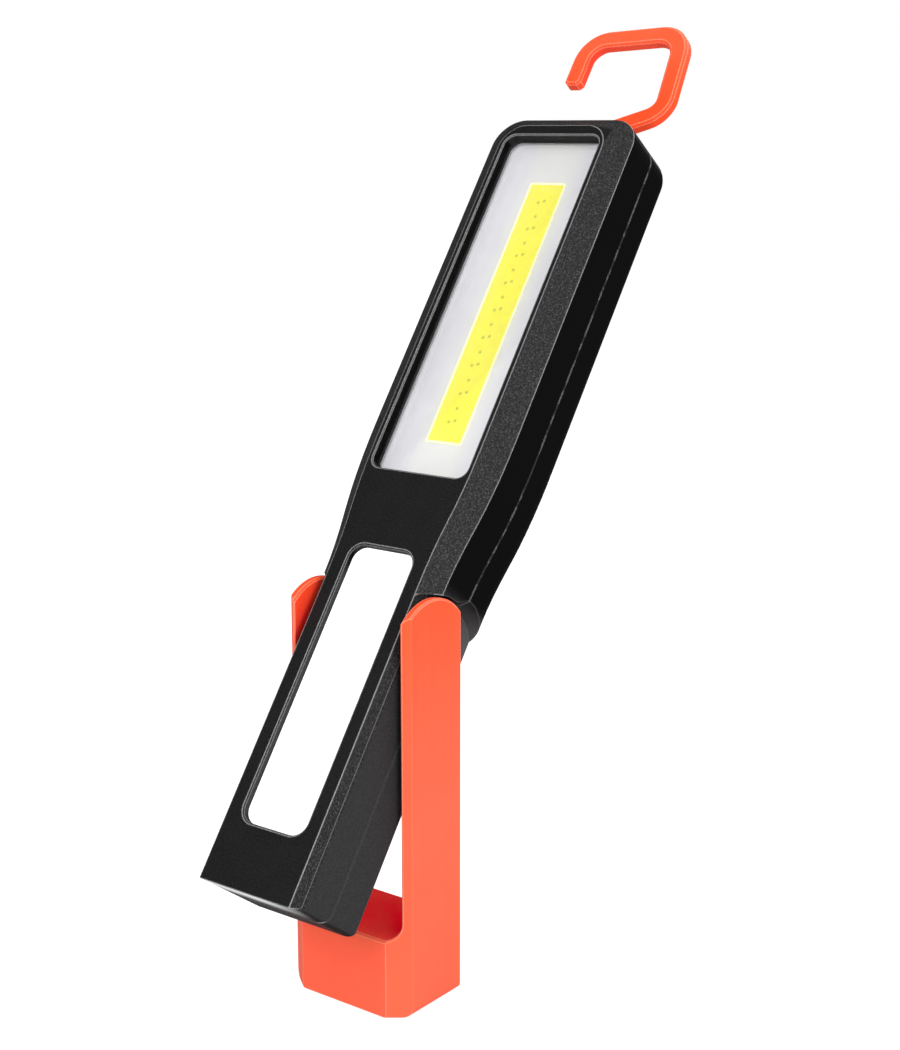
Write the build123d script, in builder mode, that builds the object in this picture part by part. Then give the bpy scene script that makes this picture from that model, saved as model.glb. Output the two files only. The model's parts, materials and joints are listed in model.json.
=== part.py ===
from build123d import *
import os
from math import sin, cos, radians, sqrt, hypot

# ---------------------------------------------------------------------------
# Cordless inspection work light: a two-shell lamp body hinged between the
# arms of a U-shaped stand, with a hook that folds out of its back.
# World frame: mm, +Z up, the foot rests on Z = 0, X runs along the tilt hinge,
# the hinge axis is above the origin, and the light faces -Y, leaning back.
# Lamp frame: x across, u along the lamp from its bottom end, h depth behind
# its front face. Names ending in _U or _H are places in it; _HW is a half
# width, _R a radius, _T a thickness. Cutters overshoot the material they cut.
# ---------------------------------------------------------------------------

# ---- driving dimensions (mm, degrees) --------------------------------------
LEAN = 35.88            # lean of the lamp from upright
HINGE_Z = 105.0         # tilt hinge above the ground
HINGE_U = 78.1
HINGE_H = 11.0

# body
LENGTH = 252.8
THICK = 30.3
SPLIT_H = 17.3          # depth of the seam between the shells
SEAM = 0.12             # half the visible seam gap
HEAD_HW = 25.85
SHOULDER_HW = 21.75
GRIP_HW = 17.5
FACE_GRIP_HW = 16.4
BEVEL_H = 5.0           # depth of the bevel band around the face
GRIP_BEVEL_H = 3.7
WIDEN_LOW_U, WIDEN_HIGH_U = 93.0, 147.0   # the body widens between these heights
BACK_R = 5.2
HEEL_R, TOE_R = 2.8, 1.9     # bottom end: rear edge, and corners seen from the front
REACH = 40.0                 # half the length of cutters that pass right through

# window, lens and handle panel
WIN_HW, WIN_U0, WIN_U1, WIN_R = 17.3, 127.3, 243.7, 3.5
LENS_H, LENS_T = 4.0, 1.5
PANEL_HW, PANEL_U0, PANEL_U1, PANEL_R, PANEL_H = 11.4, 18.3, 103.0, 4.5, 2.0

# stand
ARM_IN, ARM_OUT = 19.3, 22.0  # inner and outer half widths
ARM_Y0, ARM_Y1 = -14.4, 12.8  # front and back
ARM_R = 16.2                  # arm end radius about the hinge
FOOT_Z = 23.4                 # floor of the U
BEVEL_X, BEVEL_Y = 6.2, 4.7   # bevelled front corners
BOSS_R, BOSS_X = 6.5, 17.65   # ring at the root of each stub, its inner face
STUB_R, STUB_X = 4.0, 13.0    # hinge stub, its inner end
RIM = 0.45                    # bevel round the outer side faces
POCKET_R = 16.9               # side pocket of the lamp around the arm end

# hook
HOOK_H, HOOK_T, HOOK_HW = 22.6, 4.2, 3.1   # HOOK_H is at mid thickness
HOOK_PIN_U, HOOK_PIN_H, HOOK_PIN_R = 247.0, 25.2, 1.25
BARREL_R, BARREL_HW = 4.5, 5.0

# ---- lamp frame ------------------------------------------------------------
LEAN_SIN, LEAN_COS = sin(radians(LEAN)), cos(radians(LEAN))
X_DIR = Vector(1, 0, 0)
U_DIR = Vector(0, LEAN_SIN, LEAN_COS)
H_DIR = Vector(0, LEAN_COS, -LEAN_SIN)
CUT = Mode.SUBTRACT


def lamp_point(x, along, depth):
    along, depth = along - HINGE_U, depth - HINGE_H
    return Vector(x, along * LEAN_SIN + depth * LEAN_COS,
                  HINGE_Z + along * LEAN_COS - depth * LEAN_SIN)


def at_depth(depth):
    """Plane parallel to the lamp's face, local (x, u), normal forwards."""
    return Plane(origin=lamp_point(0, 0, depth), x_dir=(1, 0, 0), z_dir=-H_DIR)


def at_x(x):
    """Plane seen from +X, local (h, u), normal +X."""
    return Plane(origin=lamp_point(x, 0, 0), x_dir=H_DIR, z_dir=(1, 0, 0))


def at_u(along):
    """Plane across the lamp, local (x, h), normal towards its top."""
    return Plane(origin=lamp_point(0, along, 0), x_dir=(1, 0, 0), z_dir=U_DIR)


def u_of(point):
    return (point - lamp_point(0, 0, 0)).dot(U_DIR)


def h_of(point):
    return (point - lamp_point(0, 0, 0)).dot(H_DIR)


# ---- extrusions into the open part, and selectors --------------------------
def extrude_back(shape, amount, mode=Mode.ADD):
    extrude(shape, amount=amount, dir=H_DIR, mode=mode)


def extrude_along(shape, amount, mode=Mode.ADD):
    extrude(shape, amount=amount, dir=U_DIR, mode=mode)


def extrude_x(shape, amount, mode=Mode.ADD):
    extrude(shape, amount=amount, dir=X_DIR, mode=mode)


def extrude_up(shape, amount, mode=Mode.ADD):
    extrude(shape, amount=amount, dir=(0, 0, 1), mode=mode)


def faces_by_depth(builder):
    return builder.faces().sort_by(lambda f: h_of(f.center()))


def edges_at_depth(builder, depth):
    return [e for e in builder.edges() if abs(h_of(e.center()) - depth) < 0.05]


def save(part, name):
    part.label = name
    export_step(part, f"parts/{name}.step")


# ---- sketches --------------------------------------------------------------
def rounded_rect(plane, x0, x1, y0, y1, radius):
    with BuildSketch(plane) as drawing:
        with Locations(((x0 + x1) / 2, (y0 + y1) / 2)):
            RectangleRounded(x1 - x0, y1 - y0, radius)
    return drawing.sketch


def rectangles(plane, width, height, points):
    with BuildSketch(plane) as drawing:
        with Locations(*points):
            Rectangle(width, height)
    return drawing.sketch


def rect(plane, x0, x1, y0, y1):
    return rectangles(plane, x1 - x0, y1 - y0, [((x0 + x1) / 2, (y0 + y1) / 2)])


def discs(plane, radius, points):
    with BuildSketch(plane) as drawing:
        with Locations(*points):
            Circle(radius)
    return drawing.sketch


def slot(depth, along, length, height):
    """Round-ended slot across the lamp, centred at this u."""
    with BuildSketch(at_depth(depth)) as drawing:
        with Locations((0, along)):
            SlotOverall(length, height)
    return drawing.sketch


def window_outline(depth, grow=0.0, round_by=0.0):
    """The window's outline grown all round, its corner radius changed."""
    return rounded_rect(at_depth(depth), -WIN_HW - grow, WIN_HW + grow,
                        WIN_U0 - grow, WIN_U1 + grow, WIN_R + round_by)


def lens_outline(depth):
    return window_outline(depth, 1.0, 0.8)


def panel_outline(depth, shrink=0.0):
    return rounded_rect(at_depth(depth), -PANEL_HW + shrink, PANEL_HW - shrink,
                        PANEL_U0 + shrink, PANEL_U1 - shrink, PANEL_R - shrink)


def body_outline(plane, low_hw, shoulder, high_hw, top, top_radius,
                 bottom=0.0, widen_low=WIDEN_LOW_U):
    """Front view of the body: straight grip, S-shaped shoulder, wide head."""
    with BuildSketch(plane) as drawing:
        with BuildLine():
            Line((0, bottom), (low_hw, bottom))
            Line((low_hw, bottom), (low_hw, widen_low))
            Spline((low_hw, widen_low), *shoulder, (high_hw, WIDEN_HIGH_U),
                   tangents=[(0, 1), (0, 1)])
            Line((high_hw, WIDEN_HIGH_U), (high_hw, top - top_radius))
            JernArc(start=(high_hw, top - top_radius), tangent=(0, 1),
                    radius=top_radius, arc_size=90)
            Line((high_hw - top_radius, top), (0, top))
            mirror(about=Plane.YZ)
        make_face()
    return drawing.sketch


def end_corners(plane, edge, radius, signs):
    """Waste outside a rounded corner of the bottom end, local x = sign * edge."""
    with BuildSketch(plane) as drawing:
        for sign in signs:
            with BuildLine():
                Polyline((sign * (edge - radius), 0), (sign * (edge - radius), -3),
                         (sign * (edge + 3), -3), (sign * (edge + 3), radius),
                         (sign * edge, radius))
                ThreePointArc((sign * edge, radius),
                              (sign * (edge - radius * (1 - cos(radians(45)))),
                               radius * (1 - sin(radians(45)))),
                              (sign * (edge - radius), 0))
            make_face()
    return drawing.sketch


def bar_outline(plane, path, radii, half_width, tip=0.0):
    """A bent bar seen flat: the path widened each side, its corners rounded.

    radii are centre-line bend radii; tip is a chamfer on the path's last end.
    """
    normals = []
    for (x0, y0), (x1, y1) in zip(path, path[1:]):
        length = hypot(x1 - x0, y1 - y0)
        normals.append(((y0 - y1) / length, (x1 - x0) / length))
    left, right, corners = [], [], []
    for i, (x, y) in enumerate(path):
        before = normals[max(i - 1, 0)]
        after = normals[min(i, len(normals) - 1)]
        sum_x, sum_y = before[0] + after[0], before[1] + after[1]
        mitre = 2 * half_width / (sum_x ** 2 + sum_y ** 2)
        left.append((x + sum_x * mitre, y + sum_y * mitre))
        right.append((x - sum_x * mitre, y - sum_y * mitre))
        if 0 < i < len(path) - 1:
            turns_left = before[0] * after[1] - before[1] * after[0] > 0
            inward = half_width if turns_left else -half_width
            corners.append((left[i], radii[i - 1] - inward))
            corners.append((right[i], radii[i - 1] + inward))
    with BuildSketch(plane) as drawing:
        with BuildLine():
            Polyline(*left, *right[::-1], close=True)
        make_face()
        for corner, radius in corners:
            fillet(drawing.vertices().sort_by_distance(corner)[0], radius)
        if tip:
            for corner in (left[-1], right[-1]):
                chamfer(drawing.vertices().sort_by_distance(corner)[0], tip)
    return drawing.sketch


os.makedirs("parts", exist_ok=True)

# ---- body envelope ---------------------------------------------------------
# shoulder: (half width, u) between the grip and the head
FACE_OUTLINE = dict(low_hw=FACE_GRIP_HW, high_hw=19.05, top=247.3, top_radius=8.0,
                    shoulder=[(17.1, 109), (18.3, 120), (18.9, 131)])
SIDE_OUTLINE = dict(low_hw=SHOULDER_HW, high_hw=HEAD_HW, top=LENGTH, top_radius=9.5,
                    shoulder=[(22.95, 109), (24.55, 120), (25.5, 131)])
CAVITY_OUTLINE = dict(low_hw=15.3, high_hw=23.4, top=250.4, top_radius=7.0,
                      bottom=2.4, widen_low=98.0,
                      shoulder=[(20.3, 109), (22.0, 120), (23.05, 131)])

with BuildPart() as envelope:
    loft([body_outline(at_depth(0), **FACE_OUTLINE),
          body_outline(at_depth(BEVEL_H), **SIDE_OUTLINE)], ruled=True)
    extrude_back(body_outline(at_depth(BEVEL_H), **SIDE_OUTLINE), THICK - BEVEL_H)
    back_face = faces_by_depth(envelope)[-1]
    fillet([e for e in back_face.edges() if u_of(e.center()) > 1.0], BACK_R)

# Side pockets that receive the stand's arms: a round-topped recess about the
# hinge, its upper wall sloping out to the shoulder behind the arm.
POCKET_AHEAD = 16.0       # front edge ahead of the hinge
POCKET_ARC_ANGLE = 32     # mid point of the rounded front, from the top
POCKET_BOTTOM_U = -8
POCKET_OUTER_X = 22.4     # where the sloping wall ends
# (h, u) down the rear edge, at the pocket's floor and at its mouth
POCKET_FLOOR = [(17.5, 94.6), (22.5, 94.0), (27.0, 92.4), (33.0, 84.0)]
POCKET_MOUTH = [(16.2, 97.6), (21.5, 97.6), (27.0, 94.6), (33.0, 84.0)]


def pocket_profile(plane, rear_edge):
    front = HINGE_H - POCKET_AHEAD
    front_top = HINGE_U + sqrt(POCKET_R ** 2 - POCKET_AHEAD ** 2)
    angle = radians(POCKET_ARC_ANGLE)
    top = (HINGE_H, HINGE_U + POCKET_R)
    rear = rear_edge[-1][0]
    with BuildSketch(plane) as drawing:
        with BuildLine():
            Line((front, POCKET_BOTTOM_U), (front, front_top))
            ThreePointArc((front, front_top),
                          (HINGE_H - POCKET_R * sin(angle), HINGE_U + POCKET_R * cos(angle)),
                          top)
            Spline(top, *rear_edge, tangents=[(1, 0), (0.25, -1)])
            Line(rear_edge[-1], (rear, POCKET_BOTTOM_U))
            Line((rear, POCKET_BOTTOM_U), (front, POCKET_BOTTOM_U))
        make_face()
    return drawing.sketch


with BuildPart() as side_pocket:
    loft([pocket_profile(at_x(GRIP_HW), POCKET_FLOOR),
          pocket_profile(at_x(POCKET_OUTER_X), POCKET_MOUTH)], ruled=True)
    extrude_x(pocket_profile(at_x(POCKET_OUTER_X), POCKET_MOUTH), 8)

# carries the face's bevel down the grip, inside the pocket's outline
with BuildPart() as band_cut:
    with BuildSketch(at_u(-6)):
        with BuildLine():
            Polyline((FACE_GRIP_HW - 0.446, -1.5), (GRIP_HW, GRIP_BEVEL_H),
                     (GRIP_HW + 12, GRIP_BEVEL_H + 0.4), (GRIP_HW + 12, -1.5), close=True)
        make_face()
    extrude(amount=110)
    extrude_x(pocket_profile(at_x(10), POCKET_FLOOR), 25, Mode.INTERSECT)

with BuildPart() as body:
    add(envelope.part)
    for cutter in (side_pocket, band_cut):
        add(cutter.part, mode=CUT)
    for cutter in (side_pocket, band_cut):
        add(mirror(cutter.part, about=Plane.YZ), mode=CUT)
    extrude_x(end_corners(at_x(-REACH), THICK, HEEL_R, (1,)), 2 * REACH, CUT)
    extrude_back(end_corners(at_depth(-5), GRIP_HW, TOE_R, (1, -1)), 60, CUT)

# Split between the shells: a plane at the seam depth that curls forward under
# the bottom end, so that the rear shell wraps the corner.
CURL_R, CURL_ANGLE, CURL_RUN = 4.5, 60, 20.6


def rear_zone(gap):
    seam = SPLIT_H + gap
    angle = radians(CURL_ANGLE)

    def on_curl(turn):
        return (seam - CURL_R * (1 - cos(turn)), CURL_R * (1 - sin(turn)))

    curl = on_curl(angle)
    run_end = (curl[0] - CURL_RUN * sin(angle), curl[1] - CURL_RUN * cos(angle))
    with BuildSketch(at_x(-REACH)) as drawing:
        with BuildLine():
            Polyline((seam, CURL_R), (seam, 330), (60, 330), (60, run_end[1]), run_end, curl)
            # the mid point lies at half the angle across, and down the curl
            ThreePointArc(curl, on_curl(angle / 2), (seam, CURL_R))
        make_face()
    return drawing.sketch


# ---- inner cavity ----------------------------------------------------------
CAVITY_FRONT_H, CAVITY_BACK_H = 4.4, 28.3
CAVITY_HEAD_FRONT_H = 5.6      # front wall is thicker around the window
CAVITY_HEAD_FRONT_U = 108.0
CAVITY_TOP_BACK_H = 23.6       # back wall is thicker behind the hook well
CAVITY_TOP_BACK_U = 188.0

with BuildPart() as cavity:
    extrude_back(body_outline(at_depth(CAVITY_FRONT_H), **CAVITY_OUTLINE),
                 CAVITY_BACK_H - CAVITY_FRONT_H)
    cavity_back = faces_by_depth(cavity)[-1]
    fillet([e for e in cavity_back.edges() if u_of(e.center()) > 3.0], 3.0)
    extrude_back(rect(at_depth(CAVITY_TOP_BACK_H), -REACH, REACH, CAVITY_TOP_BACK_U, 260),
                 20, CUT)
    extrude(rect(at_depth(CAVITY_HEAD_FRONT_H), -REACH, REACH, CAVITY_HEAD_FRONT_U, 260),
            amount=20, dir=-H_DIR, mode=CUT)

# ---- screw and boss positions, shared by several pieces --------------------
# (x, u)
CASE_SCREWS = [(sign * x, along) for x, along in ((12.2, 7.0), (17.4, 114.5), (21.3, 243.0))
               for sign in (-1, 1)]
SINK_SCREWS = [(sign * 21.2, along) for along in (146.0, 228.0) for sign in (-1, 1)]
BOARD_SCREWS = [(sign * 10.4, along) for along in (89.5, 167.0) for sign in (-1, 1)]
HINGE_POINT = [(HINGE_H, HINGE_U)]          # on at_x planes
HOOK_PIN_POINT = [(HOOK_PIN_H, HOOK_PIN_U)]

CASE_SCREW_R = 1.3
CASE_BORE_H = 22.6        # floor of the counterbores
SINK_SCREW_R = 1.1
BOARD_SCREW_R = 1.0
BOARD_H, BOARD_T = 19.2, 1.6
BOARD_BACK_H = BOARD_H + BOARD_T
BUTTON_U = 101.0
LIGHT_BAR_U = 120.0
PORT_U, PORT_H = 156.0, 22.4

# ---- front shell -----------------------------------------------------------
CASE_POST_R, CASE_POST_H = 2.5, 4.0
SINK_POST_R, SINK_POST_H, SINK_POST_END_H = 2.3, 5.2, 8.8
BORE_RING_X, BORE_RING_R, BORE_RING_T = 13.6, 6.0, 2.2


def face_rim(builder, half_width, low, high):
    """Edges on the front face within a centred opening's bounds."""
    return [e for e in builder.edges() if abs(h_of(e.center())) < 0.02
            and abs(e.center().X) < half_width + 0.3
            and low - 0.3 < u_of(e.center()) < high + 0.3]


with BuildPart() as front_shell:
    add(body.part)
    extrude_x(rear_zone(-SEAM), 2 * REACH, CUT)
    add(cavity.part, mode=CUT)
    # window opening, gasket and lens pocket
    extrude_back(window_outline(-1), 12, CUT)
    extrude_back(window_outline(LENS_H - 0.6, 1.2, 1.0), 8, CUT)
    # inset for the handle panel
    extrude_back(panel_outline(-1), 4.0, CUT)
    # posts for the case screws and the heat sink screws
    extrude_back(discs(at_depth(CASE_POST_H), CASE_POST_R, CASE_SCREWS),
                 SPLIT_H - SEAM - CASE_POST_H)
    extrude_back(discs(at_depth(SINK_POST_H), SINK_POST_R, SINK_SCREWS),
                 SINK_POST_END_H - SINK_POST_H)
    # thickened rings around the tilt bores, then the bores
    for sign in (1, -1):
        extrude(discs(at_x(sign * BORE_RING_X), BORE_RING_R, HINGE_POINT),
                amount=BORE_RING_T, dir=(sign, 0, 0))
    extrude_x(discs(at_x(-30), STUB_R + 0.05, HINGE_POINT), 60, CUT)
    # screw holes
    extrude_back(discs(at_depth(7.0), CASE_SCREW_R, CASE_SCREWS), 20, CUT)
    extrude_back(discs(at_depth(6.0), SINK_SCREW_R, SINK_SCREWS), 10, CUT)
    # small chamfers on the rims of the window and the panel inset
    chamfer(face_rim(front_shell, WIN_HW, WIN_U0, WIN_U1), 0.35)
    chamfer(face_rim(front_shell, PANEL_HW, PANEL_U0, PANEL_U1), 0.5)
save(front_shell.part, "front_shell")

# ---- rear shell ------------------------------------------------------------
# hook's centre line unfolded, (x, u) from the pin to the tip
HOOK_PATH = [(0.5, HOOK_PIN_U), (0.5, 260.5), (19.25, 268.0), (16.25, 298.1),
             (-18.65, 295.9), (-18.65, 278.4)]
HOOK_RADII = [5.0, 7.0, 9.0, 8.0]
# the same folded about the pin, its tip end 0.8 shorter in the well than in the
# mirrored path's direction of +u
FOLD_PATH = [(x, 2 * HOOK_PIN_U - along) for x, along in HOOK_PATH]
FOLD_PATH[-1] = (FOLD_PATH[-1][0], FOLD_PATH[-1][1] + 0.8)
# start of the folded hook, out to its first bend, (x, u)
RELIEF_PATH = [(0.5, 246.0), (0.5, 234.8), (14.0, 229.4)]
WELL_HW = HOOK_HW + 0.7

SLEEVE_R = 3.2            # round the case screws
BOARD_POST_R = 2.6
BLOCK_HW, BLOCK_U, BLOCK_T = 9.4, 239.6, 10.0   # carries the hook's pin
NOTCH_HW, NOTCH_GAP = 5.4, 5.1                  # barrel notch, and its reach from the pin

with BuildPart() as rear_shell:
    add(body.part)
    extrude_x(rear_zone(SEAM), 2 * REACH, Mode.INTERSECT)
    add(cavity.part, mode=CUT)
    # sleeves for the case screws, posts for the board, block for the hook's pin
    extrude_back(discs(at_depth(SPLIT_H + SEAM), SLEEVE_R, CASE_SCREWS),
                 CAVITY_BACK_H - SPLIT_H)
    extrude_back(discs(at_depth(BOARD_BACK_H), BOARD_POST_R, BOARD_SCREWS),
                 CAVITY_BACK_H - BOARD_BACK_H + 0.5)
    extrude_back(rect(at_depth(SPLIT_H + SEAM), -BLOCK_HW, BLOCK_HW, BLOCK_U, LENGTH - 1.0),
                 BLOCK_T)
    add(body.part, mode=Mode.INTERSECT)
    # hook well and barrel notch
    extrude_back(bar_outline(at_depth(HOOK_PIN_H + 0.3), FOLD_PATH, HOOK_RADII, WELL_HW, 1.0),
                 10, CUT)
    extrude_back(rect(at_depth(HOOK_PIN_H - NOTCH_GAP), -NOTCH_HW, NOTCH_HW,
                      HOOK_PIN_U - NOTCH_GAP, LENGTH + 3), 20, CUT)
    # relief where the hook's first bend swings in over the edge of the well
    extrude_back(bar_outline(at_depth(HOOK_PIN_H + 1.3), RELIEF_PATH, [5.0], WELL_HW, 1.5),
                 10, CUT)
    extrude_x(discs(at_x(-9.2), HOOK_PIN_R, HOOK_PIN_POINT), 18.4, CUT)
    # counterbores and holes of the case screws, holes of the board screws
    extrude_back(discs(at_depth(CASE_BORE_H), 2.75, CASE_SCREWS), 20, CUT)
    extrude_back(discs(at_depth(10.0), 1.5, CASE_SCREWS), 20, CUT)
    extrude_back(discs(at_depth(10.0), BOARD_SCREW_R, BOARD_SCREWS), 16.5, CUT)
    # openings for the power button and the charge light bar
    extrude_back(slot(20, BUTTON_U, 17.0, 9.0), 20, CUT)
    extrude_back(slot(20, LIGHT_BAR_U, 12.0, 3.2), 20, CUT)
    # charging port: flap recess outside, opening behind it
    extrude(rect(at_x(-HEAD_HW + 1.05), PORT_H - 3.2, PORT_H + 3.2, PORT_U - 7.9, PORT_U + 7.5),
            amount=4, dir=-X_DIR, mode=CUT)
    extrude_x(rounded_rect(at_x(-HEAD_HW - 2), PORT_H - 1.9, PORT_H + 1.9,
                           PORT_U - 4.95, PORT_U + 4.95, 1.8), 8, CUT)
save(rear_shell.part, "rear_shell")

# ---- case screws -----------------------------------------------------------
CASE_HEAD_R, CASE_HEAD_T = 2.5, 1.7
CASE_SOCKET_R, CASE_SOCKET_H = 0.95, 23.3

with BuildPart() as case_screws:
    extrude_back(discs(at_depth(8.0), CASE_SCREW_R, CASE_SCREWS), 15.0)
    extrude_back(discs(at_depth(CASE_BORE_H), CASE_HEAD_R, CASE_SCREWS), CASE_HEAD_T)
    fillet(edges_at_depth(case_screws, CASE_BORE_H + CASE_HEAD_T), 0.5)
    extrude_back(discs(at_depth(CASE_SOCKET_H), CASE_SOCKET_R, CASE_SCREWS), 2, CUT)
save(case_screws.part, "case_screws")

# ---- panel set into the handle ---------------------------------------------
with BuildPart() as handle_panel:
    extrude_back(panel_outline(PANEL_H, shrink=0.1), 1.0)
    fillet(faces_by_depth(handle_panel)[0].edges(), 0.25)
save(handle_panel.part, "handle_panel")

# ---- window lens, gasket, reflector tray -----------------------------------
with BuildPart() as window_lens:
    extrude_back(lens_outline(LENS_H), LENS_T)
save(window_lens.part, "window_lens")

with BuildPart() as lens_gasket:
    extrude_back(lens_outline(LENS_H - 0.55), 0.5)
    extrude_back(window_outline(LENS_H - 0.6, -0.3, -0.3), 1, CUT)
save(lens_gasket.part, "lens_gasket")

# the light-emitting strip
COB_U0, COB_U1, COB_HW = 140.8, 230.0, 5.9
TRAY_H, TRAY_T = LENS_H + LENS_T, 2.1
TRAY_DISH = 1.1           # depth of the sloping rim


def strip_outline(depth, grow, radius):
    return rounded_rect(at_depth(depth), -COB_HW - grow, COB_HW + grow,
                        COB_U0 - grow, COB_U1 + grow, radius)


with BuildPart() as reflector_tray:
    extrude_back(lens_outline(TRAY_H), TRAY_T)
    loft([window_outline(TRAY_H, 0.2), window_outline(TRAY_H + TRAY_DISH, -0.7, -0.6)],
         ruled=True, mode=CUT)
    extrude_back(strip_outline(TRAY_H, 0.9, 0.8), 4, CUT)
save(reflector_tray.part, "reflector_tray")

# ---- COB light engine ------------------------------------------------------
COB_BOARD_H, COB_BOARD_T = TRAY_H + TRAY_T, 1.2
DAM_H, DAM_WALL = 6.45, 0.85
PHOSPHOR_H = 6.6

with BuildPart() as cob_board:
    extrude_back(rounded_rect(at_depth(COB_BOARD_H), -9.5, 9.5, 131.5, 238.5, 1.0), COB_BOARD_T)
save(cob_board.part, "cob_board")

with BuildPart() as cob_dam:
    extrude_back(strip_outline(DAM_H, DAM_WALL, 0.8), COB_BOARD_H - DAM_H)
    extrude_back(strip_outline(6.0, 0, 0.35), 4, CUT)
    fillet(faces_by_depth(cob_dam)[0].edges(), 0.2)
save(cob_dam.part, "cob_dam")

# dies in groups of three along the strip
CHIP_X, CHIP_U, CHIP_T = 0.7, 1.1, 0.3
CHIP_START, CHIP_PITCH = 6.4, 9.55
CHIP_GROUP = [(-1.0, 0.0), (1.0, 0.6), (0.0, 4.6)]     # (x, u) within a group
CHIPS = [(x, COB_U0 + CHIP_START + k * CHIP_PITCH + along)
         for k in range(9) for x, along in CHIP_GROUP]
CHIPS = [(x, along) for x, along in CHIPS if along < COB_U1 - 3]   # clear of the top end


def chip_outlines():
    return rectangles(at_depth(COB_BOARD_H - CHIP_T), CHIP_X, CHIP_U, CHIPS)


with BuildPart() as led_chips:
    extrude_back(chip_outlines(), CHIP_T)
save(led_chips.part, "led_chips")

with BuildPart() as cob_phosphor:
    extrude_back(strip_outline(PHOSPHOR_H, 0, 0.35), COB_BOARD_H - PHOSPHOR_H)
    extrude_back(chip_outlines(), 2, CUT)
save(cob_phosphor.part, "cob_phosphor")

# ---- heat sink -------------------------------------------------------------
SINK_H, SINK_T = COB_BOARD_H + COB_BOARD_T, 1.8
FIN_T, FIN_LENGTH, FIN_DEEP, FIN_PITCH, FIN_U = 1.0, 84, 4.3, 5, 187.0

with BuildPart() as heat_sink:
    extrude_back(rounded_rect(at_depth(SINK_H), -22.9, 22.9, 140.0, 234.5, 2.0), SINK_T)
    extrude_back(rectangles(at_depth(SINK_H + 1.5), FIN_T, FIN_LENGTH,
                            [(i * FIN_PITCH, FIN_U) for i in range(-3, 4)]), FIN_DEEP)
    extrude_back(discs(at_depth(SINK_H - 1), 1.25, SINK_SCREWS), 5, CUT)
save(heat_sink.part, "heat_sink")

with BuildPart() as heat_sink_screws:
    extrude_back(discs(at_depth(SINK_H - 2.6), SINK_SCREW_R, SINK_SCREWS), 5.0)
    extrude_back(discs(at_depth(SINK_H + SINK_T), 2.0, SINK_SCREWS), 1.4)
save(heat_sink_screws.part, "heat_sink_screws")

# ---- driver board and what sits on it --------------------------------------
# (x, u), with a tongue out to the charging port on the -X side
BOARD_OUTLINE = [(-13.2, 86.0), (13.2, 86.0), (13.2, 171.0), (-13.2, 171.0),
                 (-13.2, 164.5), (-22.9, 164.5), (-22.9, 147.5), (-13.2, 147.5)]
BOARD_HEAD_R, BOARD_HEAD_T = 1.9, 1.4

with BuildPart() as driver_board:
    with BuildSketch(at_depth(BOARD_H)) as board_sketch:
        with BuildLine():
            Polyline(*BOARD_OUTLINE, close=True)
        make_face()
    extrude_back(board_sketch.sketch, BOARD_T)
    extrude_back(discs(at_depth(BOARD_H - 1), 1.2, BOARD_SCREWS), 5, CUT)
save(driver_board.part, "driver_board")

with BuildPart() as board_screws:
    extrude_back(discs(at_depth(BOARD_H - BOARD_HEAD_T), BOARD_HEAD_R, BOARD_SCREWS),
                 BOARD_HEAD_T)
    extrude_back(discs(at_depth(BOARD_H - 0.5), BOARD_SCREW_R, BOARD_SCREWS), 6.5)
save(board_screws.part, "board_screws")

LEG_X, LEG_U, LEG_PITCH = 2.6, 132.1, 1.27
with BuildPart() as driver_chip:
    extrude_back(rect(at_depth(BOARD_BACK_H), -2.0, 2.0, 131.5, 136.5), 1.6)
    extrude_back(rectangles(at_depth(BOARD_BACK_H), 1.4, 0.45,
                            [(sign * LEG_X, LEG_U + LEG_PITCH * i)
                             for sign in (-1, 1) for i in range(4)]), 0.5)
save(driver_chip.part, "driver_chip")

with BuildPart() as inductor:
    extrude_back(rounded_rect(at_depth(BOARD_BACK_H), -10.0, -3.6, 138.5, 144.9, 1.2), 3.0)
save(inductor.part, "inductor")

CAPACITOR_R, CAPACITOR_TALL = 2.2, 5.2
with BuildPart() as capacitors:
    extrude_back(discs(at_depth(BOARD_BACK_H), CAPACITOR_R, [(6.0, 141.0), (6.0, 147.0)]),
                 CAPACITOR_TALL)
    fillet(edges_at_depth(capacitors, BOARD_BACK_H + CAPACITOR_TALL), 0.4)
save(capacitors.part, "capacitors")

# ---- power switch, button and charge light ---------------------------------
SWITCH_HW, SWITCH_TALL = 3.0, 3.4
PLUNGER_R, PLUNGER_LENGTH = 1.75, 2.9
PLUNGER_H = BOARD_BACK_H + 2.1
PLUNGER_END_H = PLUNGER_H + PLUNGER_LENGTH
BUTTON_POINT = [(0, BUTTON_U)]
BUTTON_END_H = THICK + 0.6        # stands proud of the back

with BuildPart() as switch_body:
    extrude_back(rect(at_depth(BOARD_BACK_H), -SWITCH_HW, SWITCH_HW,
                      BUTTON_U - SWITCH_HW, BUTTON_U + SWITCH_HW), SWITCH_TALL)
    extrude_back(discs(at_depth(BOARD_BACK_H + 1.4), PLUNGER_R + 0.05, BUTTON_POINT), 5, CUT)
save(switch_body.part, "switch_body")

with BuildPart() as switch_plunger:
    extrude_back(discs(at_depth(PLUNGER_H), PLUNGER_R, BUTTON_POINT), PLUNGER_LENGTH)
save(switch_plunger.part, "switch_plunger")

with BuildPart() as power_button:
    # stem, flange inside the shell, key, then a shallow finger dish
    extrude_back(discs(at_depth(PLUNGER_END_H), 2.6, BUTTON_POINT), 27.0 - PLUNGER_END_H)
    extrude_back(slot(26.9, BUTTON_U, 20.0, 11.6), 1.2)
    extrude_back(slot(28.0, BUTTON_U, 16.6, 8.6), BUTTON_END_H - 28.0)
    fillet(faces_by_depth(power_button)[-1].edges(), 0.55)
    extrude_back(slot(THICK + 0.25, BUTTON_U, 11.5, 4.6), 2, CUT)
save(power_button.part, "power_button")

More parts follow.
